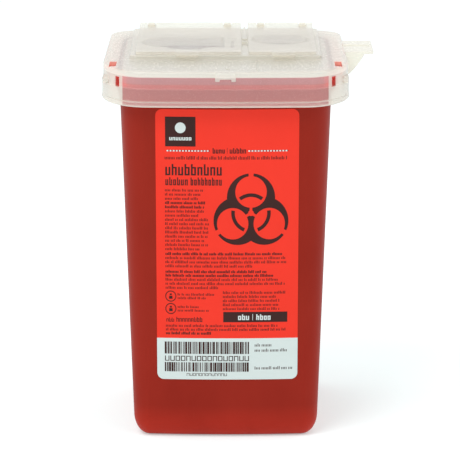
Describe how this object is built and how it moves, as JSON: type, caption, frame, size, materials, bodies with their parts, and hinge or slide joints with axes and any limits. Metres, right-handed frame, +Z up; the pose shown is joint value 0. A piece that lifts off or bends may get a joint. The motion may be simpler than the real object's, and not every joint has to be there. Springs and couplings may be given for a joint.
{
  "type": "sharps container",
  "caption": "Tapered red sharps tub with a locked milky lid, rear-hinged flip-up flaps over a D-shaped port and a round port, finger tabs, a side thumb tab and a front label.",
  "frame": {"origin": "centre of the tub's flat foot, on the surface that it stands on", "axes": "+Z up, -Y towards the labelled front, +X towards the thumb tab, so the hinge line is at +Y"},
  "size_m": [0.1123, 0.1092, 0.1593],
  "materials": {
    "tub_red": "opaque red polypropylene, satin gloss, fine moulded grain",
    "lid_milky": "natural polypropylene, milky and see-through, satin",
    "flap_milky": "natural polypropylene, milky and see-through, satin",
    "label_film": "printed film label, orange-red with a white foot panel"
  },
  "bodies": {
    "container": {"container_body": "tub_red", "lid": "lid_milky", "front_label": "label_film"},
    "large_flap": {"large_flap": "flap_milky"},
    "small_flap": {"small_flap": "flap_milky"}
  },
  "joints": [
    {"name": "large_flap_hinge", "type": "hinge", "parent": "container", "child": "large_flap", "pos_m": [-0.0153, 0.0475, 0.1574], "axis": [-1, 0, 0], "range_deg": [0, 180]},
    {"name": "small_flap_hinge", "type": "hinge", "parent": "container", "child": "small_flap", "pos_m": [0.0234, 0.0475, 0.1574], "axis": [-1, 0, 0], "range_deg": [0, 180]}
  ]
}
